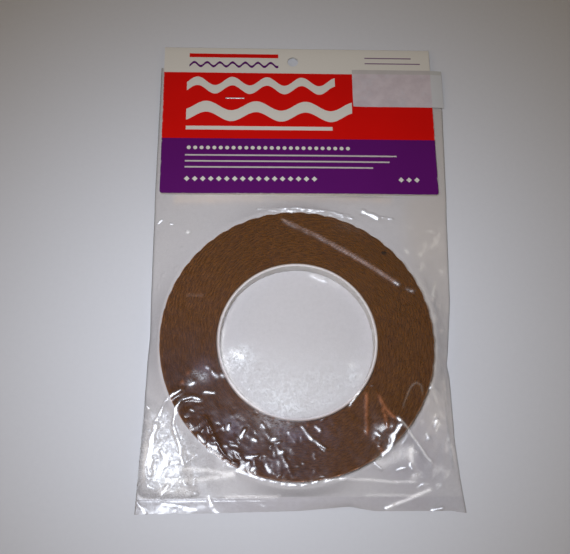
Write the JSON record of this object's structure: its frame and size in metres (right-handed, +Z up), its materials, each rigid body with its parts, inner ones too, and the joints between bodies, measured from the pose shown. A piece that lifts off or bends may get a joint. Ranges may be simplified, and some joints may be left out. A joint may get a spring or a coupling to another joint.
{
  "type": "copper foil tape roll",
  "caption": "Roll of scallop-edged copper foil tape on a white core, in a clear film bag closed by a folded, stapled hang card with a punched hang hole.",
  "frame": {"origin": "the roll's axis where it meets the table, on the underside of the bag's back film", "axes": "+Z up along the roll's axis, out of the pack's front; +Y towards the header card and its hang hole; +X to the pack's right"},
  "size_m": [0.1588, 0.249, 0.0089],
  "materials": {
    "core": "smooth",
    "tape_edge": "stacked edges",
    "liner": "coated",
    "foil": "rolled copper",
    "film": "clear film",
    "card": "coated and printed",
    "staple": "drawn wire",
    "sticker": "matt"
  },
  "bodies": {
    "bag": {"bag_front_film": "film", "bag_back_film": "film", "bag_foot_seal": "film"},
    "roll": {"core_ring": "core", "wound_tape": "tape_edge", "outer_liner_turn": "liner", "outer_foil_turn": "foil"},
    "header": {"bag_neck": "film", "header_card": "card", "card_staple": "staple", "blank_sticker": "sticker"}
  },
  "joints": [
    {"name": "roll_spin", "type": "hinge", "parent": "bag", "child": "roll", "pos_m": [0, 0, 0.0045], "axis": [0, 0, 1], "continuous": true},
    {"name": "header_fold", "type": "hinge", "parent": "bag", "child": "header", "pos_m": [0, 0.078, 0.0011], "axis": [1, 0, 0], "range_deg": [-120, 120]}
  ]
}
